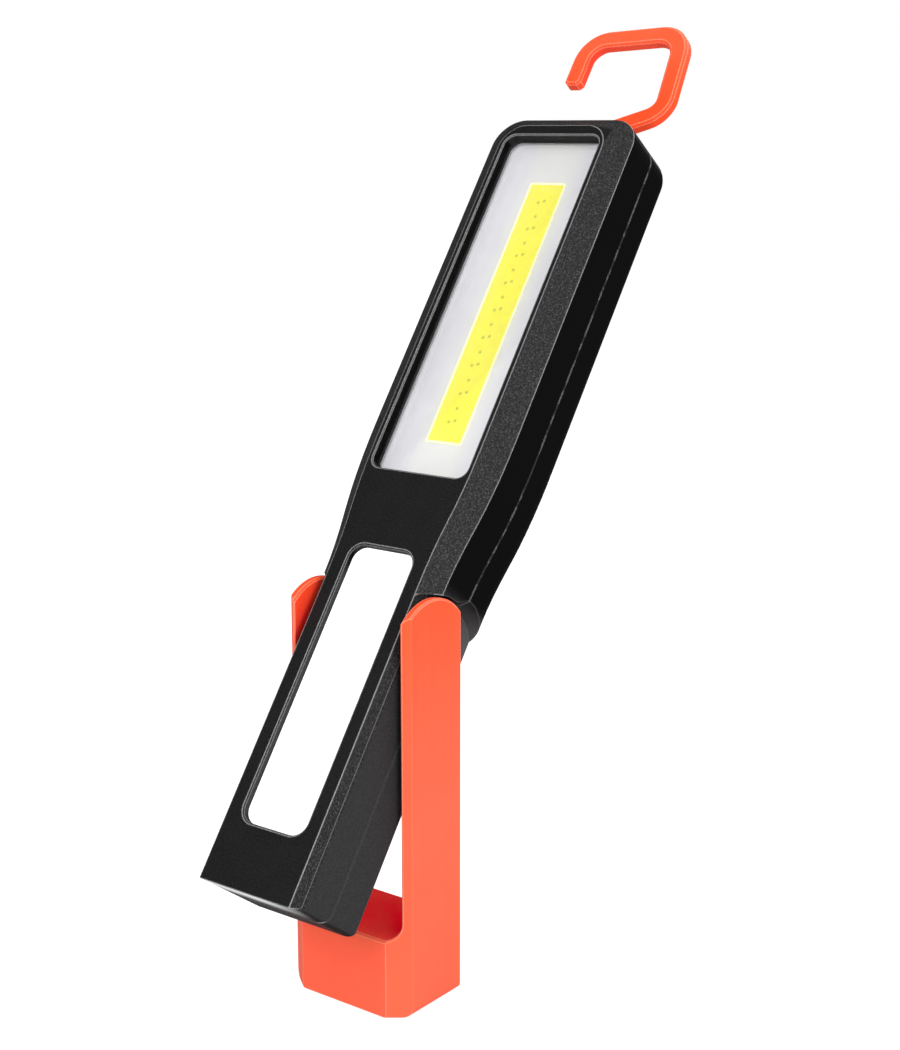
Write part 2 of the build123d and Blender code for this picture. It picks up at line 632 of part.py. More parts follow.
with BuildPart() as charge_light_bar:
    extrude_back(slot(27.2, LIGHT_BAR_U, 14.0, 5.0), 1.1)
    extrude_back(slot(28.2, LIGHT_BAR_U, 11.9, 3.1), THICK - 0.15 - 28.2)
save(charge_light_bar.part, "charge_light_bar")

# ---- charging port, on the -X side -----------------------------------------
SOCKET_X = -HEAD_HW + 2.5         # mouth of the socket
SOCKET_LENGTH, SOCKET_TALL, SOCKET_WALL = 7.4, 3.2, 0.3
with BuildPart() as usb_socket:
    extrude_x(rounded_rect(at_x(SOCKET_X), BOARD_BACK_H, BOARD_BACK_H + SOCKET_TALL,
                           PORT_U - 4.5, PORT_U + 4.5, 1.4), SOCKET_LENGTH)
    extrude_x(rounded_rect(at_x(SOCKET_X - 1), BOARD_BACK_H + SOCKET_WALL,
                           BOARD_BACK_H + SOCKET_TALL - SOCKET_WALL,
                           PORT_U - 4.2, PORT_U + 4.2, 1.2), SOCKET_LENGTH, CUT)
    # tongue
    extrude_x(rect(at_x(SOCKET_X + 0.6), BOARD_BACK_H + 1.25, BOARD_BACK_H + 1.95,
                   PORT_U - 3.3, PORT_U + 3.3), 6.4)
save(usb_socket.part, "usb_socket")

FLAP_HALF_T, FLAP_HALF_H = 0.5, 3.0
FLAP_X = -HEAD_HW + FLAP_HALF_T   # flap hinge line, half its thickness below the surface
FLAP_U = PORT_U - 7.1
with BuildPart() as usb_flap:
    extrude_x(rect(at_x(FLAP_X - FLAP_HALF_T), PORT_H - FLAP_HALF_H, PORT_H + FLAP_HALF_H,
                   FLAP_U, PORT_U + 7.2), 2 * FLAP_HALF_T)
    # round hinge edge at the lower end
    extrude_back(discs(at_depth(PORT_H - FLAP_HALF_H), FLAP_HALF_T, [(FLAP_X, FLAP_U)]),
                 2 * FLAP_HALF_H)
    # hollow plug
    extrude_x(rounded_rect(at_x(FLAP_X + 0.4), PORT_H - 1.6, PORT_H + 1.6,
                           PORT_U - 4.2, PORT_U + 4.2, 1.5), 1.6)
    extrude_x(rounded_rect(at_x(FLAP_X + 0.4), PORT_H - 0.9, PORT_H + 0.9,
                           PORT_U - 3.5, PORT_U + 3.5, 0.8), 3, CUT)
save(usb_flap.part, "usb_flap")

# ---- battery ---------------------------------------------------------------
CELL_H, CELL_U0, CELL_U1, CELL_R = 15.6, 9.0, 74.0, 9.2
CELL_CAP_R, CELL_CAP_TALL = 3.2, 0.8
CELL_POINT = [(0, CELL_H)]        # on at_u planes
TAB_X, TAB_T = 5.0, 0.3
CRADLE_HW, RIB_DEEP = 13.0, 10.0

with BuildPart() as battery_cell:
    extrude_along(discs(at_u(CELL_U0), CELL_R, CELL_POINT), CELL_U1 - CELL_U0)
    fillet([e for e in battery_cell.edges() if e.geom_type == GeomType.CIRCLE], 0.8)
    extrude_along(discs(at_u(CELL_U1 - 1), CELL_CAP_R, CELL_POINT), 1 + CELL_CAP_TALL)
save(battery_cell.part, "battery_cell")

with BuildPart() as cell_tabs:
    extrude_along(rectangles(at_u(CELL_U1 + CELL_CAP_TALL), TAB_X, 7.0, CELL_POINT), TAB_T)
    extrude_along(rectangles(at_u(CELL_U0 - TAB_T), TAB_X, 12.0, CELL_POINT), TAB_T)
save(cell_tabs.part, "cell_tabs")

with BuildPart() as cell_cradle:
    extrude_back(rounded_rect(at_depth(CAVITY_FRONT_H), -CRADLE_HW, CRADLE_HW,
                              14.0, 68.0, 2.0), 1.4)
    for rib_u0, rib_u1 in ((16.0, 23.0), (58.0, 65.0)):
        extrude_back(rect(at_depth(CAVITY_FRONT_H), -CRADLE_HW, CRADLE_HW, rib_u0, rib_u1),
                     RIB_DEEP)
    extrude_along(discs(at_u(0), CELL_R + 0.05, CELL_POINT), 100, CUT)
save(cell_cradle.part, "cell_cradle")


# ---- leads -----------------------------------------------------------------
WIRE_R = 0.6
WIRE_BOARD_H = BOARD_H - WIRE_R   # wire lying against the board's front
LED_ROUTE = [(6.5, 118.0, WIRE_BOARD_H), (6.6, 122.5, 15.5), (6.6, 129.0, 12.0),
             (6.5, 135.6, SINK_H + 0.65)]
# (x, u, h) along each lead
LEADS = {
    "battery_lead_red": [
        (1.5, CELL_U1 + 1.8, 14.5), (2.4, 78.5, 13.6), (3.2, 83.5, 14.6), (4.0, 90.0, 16.5),
        (4.0, 94.5, WIRE_BOARD_H)],
    "battery_lead_black": [
        (1.6, CELL_U0 - 1.1, 18.5), (2.6, 6.4, 22.6), (3.4, 9.5, 26.0), (4.0, 20.0, 26.5),
        (4.0, 60.0, 26.5), (4.0, 74.5, 26.0), (3.0, 80.0, 20.6), (0.0, 83.6, 16.6),
        (-4.0, 90.0, 15.8), (-4.0, 94.5, WIRE_BOARD_H)],
    "led_lead_red": LED_ROUTE,
    "led_lead_black": [(-x, along, depth) for x, along, depth in LED_ROUTE],
}


def lead(route):
    points = [lamp_point(*place) for place in route]
    with BuildPart() as wire_part:
        with BuildLine() as path:
            Spline(*points)
        with BuildSketch(Plane(origin=path.line @ 0, z_dir=path.line % 0)) as ring:
            Circle(WIRE_R)
        sweep(ring.sketch, path=path.line)
    return wire_part.part


for lead_name, lead_route in LEADS.items():
    save(lead(lead_route), lead_name)

# ---- hook ------------------------------------------------------------------
WASHER_R, WASHER_T = 3.2, 0.32

with BuildPart() as hook:
    extrude_back(bar_outline(at_depth(HOOK_H - HOOK_T / 2), HOOK_PATH, HOOK_RADII,
                             HOOK_HW, 1.3), HOOK_T)
    flats = [f for f in hook.faces() if abs(abs(h_of(f.center()) - HOOK_H) - HOOK_T / 2) < 0.01]
    chamfer([e for f in flats for e in f.edges() if u_of(e.center()) > HOOK_PIN_U + 0.5], 0.8)
    extrude_x(discs(at_x(-BARREL_HW), BARREL_R, HOOK_PIN_POINT), 2 * BARREL_HW)
    extrude_x(discs(at_x(-6.0), HOOK_PIN_R + 0.05, HOOK_PIN_POINT), 12.0, CUT)
save(hook.part, "hook")

with BuildPart() as hook_pin:
    extrude_x(discs(at_x(-9.1), HOOK_PIN_R, HOOK_PIN_POINT), 18.2)
save(hook_pin.part, "hook_pin")

with BuildPart() as hook_washers:
    for washer_x in (-5.37, 5.05):
        extrude_x(discs(at_x(washer_x), WASHER_R, HOOK_PIN_POINT), WASHER_T)
    extrude_x(discs(at_x(-6.0), HOOK_PIN_R + 0.02, HOOK_PIN_POINT), 12.0, CUT)
save(hook_washers.part, "hook_washers")

# ---- stand -----------------------------------------------------------------
COVER_HW, COVER_Y0, COVER_Y1 = 18.2, -10.6, 9.6   # recess for the foot cover
COVER_DEEP = 2.4
COVER_Y = (COVER_Y0 + COVER_Y1) / 2
FOOT_SCREWS = [(-15.2, COVER_Y), (15.2, COVER_Y)]
FOOT_SCREW_R = 1.1
PIVOT_SCREW_R = 1.25
HOLLOW_Z, HOLLOW_TALL = 2.0, 16.5
INNER_BEVEL = 0.6


def hinge_pair(radius, start, length):
    """Add discs on the hinge axis, one each side, from |x| = start outwards."""
    for sign in (1, -1):
        extrude(discs(Plane.YZ.offset(sign * start), radius, [(0, HINGE_Z)]),
                amount=length, dir=(sign, 0, 0))


def hinge_bore(radius, half_length):
    extrude_x(discs(Plane.YZ.offset(-half_length), radius, [(0, HINGE_Z)]),
              2 * half_length, CUT)


def arm_outline(x):
    """Side view of the stand, its arm ends round about the hinge."""
    front = (ARM_Y0, HINGE_Z + sqrt(ARM_R ** 2 - ARM_Y0 ** 2))
    rear = (ARM_Y1, HINGE_Z + sqrt(ARM_R ** 2 - ARM_Y1 ** 2))
    with BuildSketch(Plane.YZ.offset(x)) as drawing:
        with BuildLine():
            Line((ARM_Y0, 0), front)
            ThreePointArc(front, (0, HINGE_Z + ARM_R), rear)
            Line(rear, (ARM_Y1, 0))
            Line((ARM_Y1, 0), (ARM_Y0, 0))
        make_face()
        fillet(drawing.vertices().sort_by_distance(rear)[0], 1.0)
        fillet(drawing.vertices().sort_by_distance(front)[0], 7.0)
    return drawing.sketch


def cover_outline(z, shrink, front_radius, rear_radius):
    """Plan of the foot cover, shrink taken off its whole width and depth."""
    with BuildSketch(Plane.XY.offset(z)) as drawing:
        with Locations((0, COVER_Y)):
            Rectangle(2 * COVER_HW - shrink, COVER_Y1 - COVER_Y0 - shrink)
        fillet(drawing.vertices().group_by(Axis.Y)[0], front_radius)
        fillet(drawing.vertices().group_by(Axis.Y)[-1], rear_radius)
    return drawing.sketch


# block between the two outer side faces, with a narrow bevel round each of them
with BuildPart() as stand_block:
    extrude(arm_outline(0), amount=ARM_OUT - RIM, both=True)
    extrude(arm_outline(ARM_OUT - RIM), amount=RIM, dir=(1, 0, 0), taper=45)
    extrude(arm_outline(-ARM_OUT + RIM), amount=RIM, dir=(-1, 0, 0), taper=45)

with BuildPart() as stand_yoke:
    with BuildSketch(Plane.XZ.offset(-ARM_Y1)):
        with Locations((0, 62)):
            Rectangle(2 * ARM_OUT, 124)
        with Locations((0, FOOT_Z + 60)):
            RectangleRounded(2 * ARM_IN, 120, 5.0, mode=CUT)
        with Locations((0, FOOT_Z + 90)):
            Rectangle(2 * ARM_IN, 100, mode=CUT)
    extrude(amount=ARM_Y1 - ARM_Y0)
    # outer lower corners seen from the front
    fillet([e for e in stand_yoke.edges().filter_by(Axis.Y) if abs(e.center().Z) < 0.01], 3.0)
    # plan: wide bevels on the front corners
    with BuildSketch(Plane.XY.offset(-5)):
        with BuildLine():
            Polyline((-ARM_OUT, ARM_Y1), (-ARM_OUT, ARM_Y0 + BEVEL_Y),
                     (-ARM_OUT + BEVEL_X, ARM_Y0), (ARM_OUT - BEVEL_X, ARM_Y0),
                     (ARM_OUT, ARM_Y0 + BEVEL_Y), (ARM_OUT, ARM_Y1), close=True)
        make_face()
    extrude(amount=140, mode=Mode.INTERSECT)
    add(stand_block.part, mode=Mode.INTERSECT)
    # bevelled edges inside the U and over the arm ends
    chamfer([e for e in stand_yoke.edges()
             if (abs(abs(e.center().X) - ARM_IN) < 0.02 and e.center().Z > 112)
             or (abs(e.center().X) < ARM_IN + 0.05 and e.center().Z > 20
                 and ((e.center().Y < -9
                       and abs(abs(e.center().X) - ARM_OUT + BEVEL_X) > 0.02)
                      or e.center().Y > ARM_Y1 - 0.1))], INNER_BEVEL)
    # soft outer corner on each wide bevel
    fillet([e for e in stand_yoke.edges()
            if e.center().Y < -9 and abs(abs(e.center().X) - ARM_OUT) < 0.6
            and 20 < e.center().Z < 110], 0.6)
    # hollow foot, open below, with posts for the cover's screws
    extrude_up(cover_outline(-1, 0, 5.0, 1.5), 1 + COVER_DEEP, CUT)
    with BuildSketch(Plane.XY.offset(HOLLOW_Z)) as hollow:
        with Locations((0, COVER_Y)):
            Rectangle(2 * COVER_HW - 2.4, COVER_Y1 - COVER_Y0 - 2.4)
        fillet(hollow.vertices(), 2.0)
    extrude(amount=HOLLOW_TALL, mode=CUT)
    extrude_up(discs(Plane.XY.offset(COVER_DEEP), 2.6, FOOT_SCREWS), 17)
    extrude_up(discs(Plane.XY.offset(HOLLOW_Z), FOOT_SCREW_R, FOOT_SCREWS), 10, CUT)
    # rings that space the arms off the lamp, and the hinge stubs that reach into it
    hinge_pair(BOSS_R, BOSS_X, ARM_IN - BOSS_X + 0.5)
    hinge_pair(STUB_R, STUB_X, ARM_IN - STUB_X + 0.5)
    hinge_bore(PIVOT_SCREW_R, 19.5)
save(stand_yoke.part, "stand_yoke")

# ---- foot cover, magnets and screws ----------------------------------------
MAGNETS = [(-6.6, COVER_Y), (6.6, COVER_Y)]
MAGNET_R, MAGNET_T, MAGNET_Z = 6.0, 3.0, 0.15

with BuildPart() as foot_cover:
    extrude_up(cover_outline(0, 0.3, 4.8, 1.4), 2.35)
    extrude_up(discs(Plane.XY.offset(-1), MAGNET_R + 0.05, MAGNETS), 4, CUT)
    extrude_up(discs(Plane.XY.offset(-1), 1.2, FOOT_SCREWS), 4, CUT)
    extrude_up(discs(Plane.XY.offset(-1), 2.2, FOOT_SCREWS), 2.1, CUT)
save(foot_cover.part, "foot_cover")

with BuildPart() as foot_magnets:
    extrude_up(discs(Plane.XY.offset(MAGNET_Z), MAGNET_R, MAGNETS), MAGNET_T)
    fillet(foot_magnets.faces().filter_by(Axis.Z).sort_by(Axis.Z)[:2].edges(), 0.3)
save(foot_magnets.part, "foot_magnets")

with BuildPart() as magnet_keeper:
    with BuildSketch(Plane.XY.offset(MAGNET_Z + MAGNET_T)):
        with Locations((0, COVER_Y)):
            RectangleRounded(25.2, 11.6, 2.0)
    extrude(amount=1.5)
save(magnet_keeper.part, "magnet_keeper")

CROSS_LENGTH, CROSS_WIDTH = 2.4, 0.5
with BuildPart() as foot_screws:
    extrude_up(discs(Plane.XY.offset(0.3), 2.05, FOOT_SCREWS), 0.8)
    extrude_up(discs(Plane.XY.offset(1.0), FOOT_SCREW_R, FOOT_SCREWS), 9.0)
    with BuildSketch(Plane.XY):
        with Locations(*FOOT_SCREWS):
            Rectangle(CROSS_LENGTH, CROSS_WIDTH)
            Rectangle(CROSS_WIDTH, CROSS_LENGTH)
    extrude(amount=0.75, mode=CUT)
save(foot_screws.part, "foot_screws")

# ---- tilt hinge: friction springs, washers and screws ----------------------
# section of a disc spring, (|x|, radius about the hinge)
SPRING_SECTION = [(13.04, 4.15), (13.34, 4.15), (13.58, 5.8), (13.28, 5.8)]
PIVOT_WASHER_X, PIVOT_WASHER_T = 12.4, 0.6
PIVOT_HEAD_R, PIVOT_HEAD_T = 2.6, 1.8

with BuildPart() as disc_springs:
    for sign in (1, -1):
        with BuildSketch(Plane.XZ) as cone:
            with BuildLine():
                Polyline(*[(sign * x, HINGE_Z + radius) for x, radius in SPRING_SECTION],
                         close=True)
            make_face()
        revolve(cone.sketch, axis=Axis((0, 0, HINGE_Z), (1, 0, 0)))
save(disc_springs.part, "disc_springs")

with BuildPart() as pivot_washers:
    hinge_pair(6.0, PIVOT_WASHER_X, PIVOT_WASHER_T)
    hinge_bore(1.35, 14)
save(pivot_washers.part, "pivot_washers")

with BuildPart() as pivot_screws:
    hinge_pair(PIVOT_SCREW_R, PIVOT_WASHER_X, 6.8)
    hinge_pair(PIVOT_HEAD_R, PIVOT_WASHER_X - PIVOT_HEAD_T, PIVOT_HEAD_T)
save(pivot_screws.part, "pivot_screws")
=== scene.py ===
# LED work lamp standing on a floor at z = 0. Units are metres, with x across and z up.
# Its long body leans back: the face looks toward -y and up, and the upper end lies toward +y.
# The pieces come from the CAD file; this script gives them materials, a floor, lights and a camera.
import bpy
import bmesh
import json
import math
from mathutils import Vector, Matrix

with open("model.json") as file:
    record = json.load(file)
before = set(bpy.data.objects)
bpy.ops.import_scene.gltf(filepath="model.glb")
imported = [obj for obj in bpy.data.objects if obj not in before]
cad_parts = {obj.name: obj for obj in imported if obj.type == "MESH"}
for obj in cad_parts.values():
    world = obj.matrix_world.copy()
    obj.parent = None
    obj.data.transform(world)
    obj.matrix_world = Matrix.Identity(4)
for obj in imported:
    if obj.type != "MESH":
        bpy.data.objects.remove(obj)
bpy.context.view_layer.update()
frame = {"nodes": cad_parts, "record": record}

LEAN = math.radians(35.88)
HINGE_Z = 0.105         # height of the hinge above the floor
HINGE_DEPTH = 0.011     # hinge behind the lamp's face
HINGE_ALONG = 0.0781    # hinge above the lower end, measured along the lamp
MM_PER_M = 1000.0

RISE = (0.0, 1.0)
FALL = (1.0, 0.0)
MIDTONES = (0.3, 0.7)   # the part of a noise's range that most materials use

MATERIALS = {}


# ---------------------------------------------------------------- shader helpers


class Shader:
    """Node tree of a material or world, with short helpers that return output sockets."""

    def __init__(self, block, output="OutputMaterial"):
        block.use_nodes = True
        self.tree = block.node_tree
        self.tree.nodes.clear()
        self.output = self.node(output)

    def put(self, socket, value):
        """Link a socket, or set a constant; a three-part colour gets an alpha of 1."""
        if isinstance(value, bpy.types.NodeSocket):
            self.tree.links.new(value, socket)
        elif isinstance(value, tuple) and socket.type == "RGBA":
            socket.default_value = (*value, 1.0)
        else:
            socket.default_value = value

    def node(self, kind, inputs=None, **settings):
        node = self.tree.nodes.new("ShaderNode" + kind)
        for key, value in settings.items():
            setattr(node, key, value)
        for key, value in (inputs or {}).items():
            self.put(node.inputs[key], value)
        return node

    def math(self, operation, first, *rest):
        """Apply the operation from left to right over all the values."""
        for value in rest or (0.0,):
            first = self.node("Math", {0: first, 1: value}, operation=operation).outputs[0]
        return first

    def times(self, *values):
        return self.math("MULTIPLY", *values)

    def remap(self, value, at, to=RISE, smooth=False):
        """Map the range `at` to the range `to`, clamped."""
        kind = "SMOOTHSTEP" if smooth else "LINEAR"
        inputs = dict(enumerate((value, *at, *to)))
        return self.node("MapRange", inputs, interpolation_type=kind).outputs[0]

    def window(self, value, rise, fall):
        """1 between the two ranges, 0 outside them."""
        return self.times(self.remap(value, at=rise), self.remap(value, at=fall, to=FALL))

    def coords(self):
        return self.node("TexCoord").outputs["Object"]

    def split(self, vector):
        return self.node("SeparateXYZ", {0: vector}).outputs

    def stretch(self, vector, scale):
        return self.node("Mapping", {"Vector": vector, "Scale": scale}).outputs[0]

    def lamp_coords(self):
        """x across, y depth behind the face, z along the lamp from its lower end, in mm."""
        turned = self.node("Mapping", {
            "Vector": self.coords(),
            "Rotation": (LEAN, 0, 0),
            "Location": (0, HINGE_Z * math.sin(LEAN) + HINGE_DEPTH,
                         -HINGE_Z * math.cos(LEAN) + HINGE_ALONG)})
        return self.node("VectorMath", {0: turned.outputs[0], "Scale": MM_PER_M},
                         operation="SCALE").outputs[0]

    def noise(self, vector, scale, detail=3.0, rough=0.6):
        return self.node("TexNoise", {"Vector": vector, "Scale": scale, "Detail": detail,
                                      "Roughness": rough}).outputs["Fac"]

    def mix(self, factor, base, top, amount=None):
        """Colour going from base to top; `amount` scales the factor."""
        if amount is not None:
            factor = self.times(factor, amount)
        return self.node("Mix", {0: factor, 6: base, 7: top}, data_type="RGBA").outputs[2]

    def mottle(self, noise, colors):
        return self.mix(self.remap(noise, at=MIDTONES), *colors)

    def bevel(self, radius, samples=6):
        """Normal that rounds off edges."""
        return self.node("Bevel", {"Radius": radius}, samples=samples).outputs[0]

    def edge_mask(self, radius, bend=(0.02, 0.35)):
        """0 on flat ground, 1 along edges; `bend` is how far the rounded normal turns."""
        rounded = self.bevel(radius, samples=4)
        true_normal = self.node("NewGeometry").outputs["Normal"]
        dot = self.node("VectorMath", {0: rounded, 1: true_normal}, operation="DOT_PRODUCT")
        return self.remap(dot.outputs["Value"], at=(1.0 - bend[0], 1.0 - bend[1]))

    def bump(self, height, strength, distance=0.0001, normal=None):
        inputs = {"Height": height, "Strength": strength, "Distance": distance}
        if normal is not None:
            inputs["Normal"] = normal
        return self.node("Bump", inputs).outputs[0]

    def mix_shader(self, factor, first, second):
        return self.node("MixShader", {0: factor, 1: first, 2: second}).outputs[0]

    def finish(self, surface):
        self.put(self.output.inputs["Surface"], surface)

    def principled(self, color, rough, normal, metallic=0.0, specular=0.5, glow=None,
                   transmission=None):
        """Finish with a principled surface; `glow` is (emission colour, strength)."""
        inputs = {"Base Color": color, "Roughness": rough, "Metallic": metallic,
                  "Specular IOR Level": specular, "Normal": normal}
        if glow is not None:
            inputs["Emission Color"], inputs["Emission Strength"] = glow
        if transmission is not None:
            inputs["Transmission Weight"] = transmission
        self.finish(self.node("BsdfPrincipled", inputs).outputs[0])


def new_material(name):
    MATERIALS[name] = bpy.data.materials.new(name)
    return Shader(MATERIALS[name])


# ---------------------------------------------------------------- materials
# Places and noise scales are in mm wherever lamp_coords() is used, otherwise in metres.


def black_shell():
    """Textured black body: face, bevel band around it, grip below and head above."""
    mat = new_material("black_abs")
    coords = mat.lamp_coords()
    x, depth, along = mat.split(coords)
    across = mat.math("ABSOLUTE", x)
    normal_x, _, normal_z = mat.split(mat.node("NewGeometry").outputs["Normal"])
    side = mat.remap(mat.math("ABSOLUTE", normal_x), at=(0.80, 0.95), smooth=True)
    low = mat.remap(along, at=(99.0, 92.0), smooth=True)

    # spark-eroded texture: fine on the face, coarser on the bevel band
    fine = mat.noise(coords, scale=1.9, rough=0.70)
    coarse = mat.noise(coords, scale=2.3, rough=0.85)
    mottling = mat.noise(coords, scale=0.09, rough=0.55)
    grain = mat.remap(fine, at=(0.42, 0.62))

    # the band's inner edge widens from the grip up to the head
    inner_edge = mat.remap(along, at=(103.0, 128.0), to=(16.3, 18.9))
    past_edge = mat.math("SUBTRACT", across, inner_edge)
    outside = mat.math("MAXIMUM", mat.remap(past_edge, at=(0.0, 0.3)),
                       mat.remap(along, at=(247.0, 247.4)))
    band = mat.times(mat.window(depth, rise=(0.05, 0.35), fall=(4.85, 5.1)), outside)

    color = mat.mix(mat.remap(mottling, at=(0.35, 0.7)),
                    base=(0.0040, 0.0040, 0.0043), top=(0.0062, 0.0062, 0.0066))
    color = mat.mix(grain, base=color, top=(0.0150, 0.0150, 0.0155), amount=0.75)

    # sideways faces: on the grip a lighter satin recess, partly painted sheen; on the head painted
    # shade, darkened to near black
    satin_and_sheen = mat.mix(grain, base=(0.020, 0.021, 0.022), top=(0.031, 0.032, 0.033))
    color = mat.mix(mat.times(side, low), base=color, top=satin_and_sheen)
    # painted light: the pocket behind the arm's pivot is lightened where the arm's shade falls
    pocket_painted_light = mat.times(mat.window(along, rise=(62.0, 68.0), fall=(92.0, 97.0)),
                       mat.times(mat.remap(across, at=(16.6, 17.4)),
                                 mat.remap(depth, at=(9.0, 14.0))))
    color = mat.mix(pocket_painted_light, base=color, top=(0.085, 0.086, 0.088), amount=0.8)
    # painted shade: the head's sideways faces are darkened to near black
    head_side_shade = mat.times(side, mat.math("SUBTRACT", 1.0, low))
    color = mat.mix(head_side_shade, base=color, top=(0.0024, 0.0024, 0.0026), amount=0.92)

    speckled = mat.mix(mat.remap(coarse, at=(0.50, 0.66)),
                       base=(0.012, 0.012, 0.0126), top=(0.075, 0.075, 0.077))
    color = mat.mix(band, base=color, top=speckled)

    # lighter edges: painted highlight lines along the face, the bevel band, the seam and the lower
    # end, and faint burnished wear on the other edges
    edges = mat.edge_mask(radius=0.00050, bend=(0.003, 0.028))
    on_face = mat.remap(depth, at=(0.35, 0.7), to=FALL)
    on_band = mat.times(mat.window(depth, rise=(3.3, 3.5), fall=(5.3, 5.7)),
                        mat.remap(across, at=(16.8, 17.1)))
    seam_depth = 17.3
    from_seam = mat.math("ABSOLUTE", mat.math("SUBTRACT", depth, seam_depth))
    patches = mat.noise(coords, scale=0.22, detail=2.0, rough=0.5)
    seam = mat.times(mat.remap(from_seam, at=(0.35, 0.6), to=FALL),
                     mat.remap(patches, at=(0.50, 0.56), to=(0.0, 0.62)),
                     mat.remap(along, at=(88.0, 100.0), to=(0.12, 1.0)))
    toe = mat.times(mat.remap(along, at=(1.4, 0.7)),
                    mat.remap(depth, at=(22.0, 23.0), to=FALL))
    wear_elsewhere = 0.16
    lines = mat.math("MAXIMUM", on_face, on_band,
                     mat.math("MAXIMUM", seam, wear_elsewhere), toe)
    wear_and_highlight = mat.times(edges, mat.times(lines, mat.remap(fine, at=(0.3, 0.6), to=(0.65, 1.0))))
    color = mat.mix(wear_and_highlight, base=color, top=(0.36, 0.36, 0.37), amount=0.95)

    # painted glow on the lower end's downward faces, standing in for the light that the table
    # bounces up
    down = mat.times(normal_z, -1.0)
    below = mat.times(mat.remap(along, at=(0.9, 0.3)),
                      mat.remap(depth, at=(13.0, 2.0), smooth=True),
                      mat.remap(x, at=(22.0, 2.0), to=(0.10, 1.0), smooth=True),
                      mat.remap(down, at=(0.45, 0.78), smooth=True))
    bounce_strength = 0.80

    band_extra_rough = 0.08
    rough = mat.math("ADD", mat.remap(mottling, at=MIDTONES, to=(0.50, 0.58)),
                     mat.times(band, band_extra_rough))
    texture = mat.node("RGBToBW", {0: mat.mix(band, base=fine, top=coarse)}).outputs[0]
    normal = mat.bump(texture, strength=mat.remap(band, at=RISE, to=(0.30, 0.50)),
                      distance=0.00012, normal=mat.bevel(radius=0.00035))
    specular = mat.times(mat.remap(wear_and_highlight, at=RISE, to=(0.12, 0.45)),
                         mat.remap(head_side_shade, at=RISE, to=(1.0, 0.15)))
    mat.principled(color, rough, normal, specular=specular,
                   glow=((0.92, 0.92, 0.94), mat.times(below, bounce_strength)))


def orange_plastic():
    mat = new_material("orange_abs")
    coords = mat.coords()
    fine = mat.noise(coords, scale=260.0)
    broad = mat.noise(coords, scale=22.0, rough=0.55)
    streak = mat.noise(mat.stretch(coords, scale=(420.0, 420.0, 9.0)), scale=1.0, detail=2.0)
    color = mat.mottle(broad, colors=((0.955, 0.103, 0.045), (0.965, 0.117, 0.054)))

    # painted light and shade: the hue shifts with height above the floor, darker red higher up and
    # lighter orange again near the top
    height = mat.split(coords)[2]
    color = mat.mix(mat.remap(height, at=(0.055, 0.150), to=(0.0, 0.85), smooth=True),
                    base=color, top=(0.95, 0.054, 0.002))
    color = mat.mix(mat.remap(height, at=(0.25, 0.28), to=(0.0, 0.8), smooth=True),
                    base=color, top=(0.93, 0.100, 0.034))
    color = mat.mix(mat.remap(streak, at=(0.45, 0.75), to=(0.0, 0.14)),
                    base=color, top=(1.0, 0.14, 0.070))

    # painted shade: occluded places are coloured a saturated dark red, standing in for light that
    # only reaches them off the orange itself
    occlusion = mat.node("AmbientOcclusion", {"Distance": 0.045}, samples=8, only_local=True)
    painted_deep_shade = mat.remap(occlusion.outputs["AO"], at=(0.93, 0.72), smooth=True)
    color = mat.mix(painted_deep_shade, base=color, top=(0.76, 0.0002, 0.016))
    # painted highlight: lighter edges, held back where the painted shade lies
    wear_and_highlight = mat.times(mat.edge_mask(radius=0.0005, bend=(0.006, 0.09)),
                     mat.remap(painted_deep_shade, at=RISE, to=(0.85, 0.15)))
    color = mat.mix(wear_and_highlight, base=color, top=(1.0, 0.42, 0.27))

    fine_share, streak_share = 0.7, 0.3
    relief = mat.math("ADD", mat.times(fine, fine_share), mat.times(streak, streak_share))
    normal = mat.bump(relief, strength=0.10, normal=mat.bevel(radius=0.0004))
    mat.principled(color, mat.remap(broad, at=MIDTONES, to=(0.42, 0.52)), normal,
                   specular=mat.remap(painted_deep_shade, at=RISE, to=(0.22, 0.0)))


def white_panel():
    mat = new_material("white_panel")
    coords = mat.lamp_coords()
    fine = mat.noise(coords, scale=4.5, detail=2.0, rough=0.5)
    broad = mat.noise(coords, scale=0.06, detail=2.0, rough=0.5)
    color = mat.mottle(broad, colors=((0.93, 0.93, 0.925), (0.96, 0.96, 0.955)))
    normal = mat.bump(fine, strength=0.05, normal=mat.bevel(radius=0.0003))
    # painted light: the panel is given a faint glow
    mat.principled(color, mat.remap(fine, at=MIDTONES, to=(0.30, 0.38)), normal,
                   glow=(color, 0.35))


def clear_lens():
    """See-through cover with faint haze and weakened reflections."""
    mat = new_material("clear_pc")
    coords = mat.lamp_coords()
    smear = mat.noise(coords, scale=0.12)
    fine = mat.noise(coords, scale=5.0, detail=1.0, rough=0.5)
    fresnel = mat.node("Fresnel", {"IOR": 1.45}).outputs[0]
    glossy = mat.node("BsdfGlossy", {
        "Color": (0.95, 0.97, 1.0),
        "Roughness": mat.remap(smear, at=MIDTONES, to=(0.10, 0.18)),
        "Normal": mat.bump(fine, strength=0.02)}).outputs[0]
    clear = mat.node("BsdfTransparent", {"Color": (0.985, 0.985, 0.99)}).outputs[0]
    milky = mat.node("BsdfDiffuse", {"Color": (0.9, 0.92, 0.92)}).outputs[0]
    haze = mat.mix_shader(mat.remap(smear, at=(0.35, 0.7), to=(0.01, 0.025)), clear, milky)
    reflection_share = 0.22
    mat.finish(mat.mix_shader(mat.times(fresnel, reflection_share), haze, glossy))


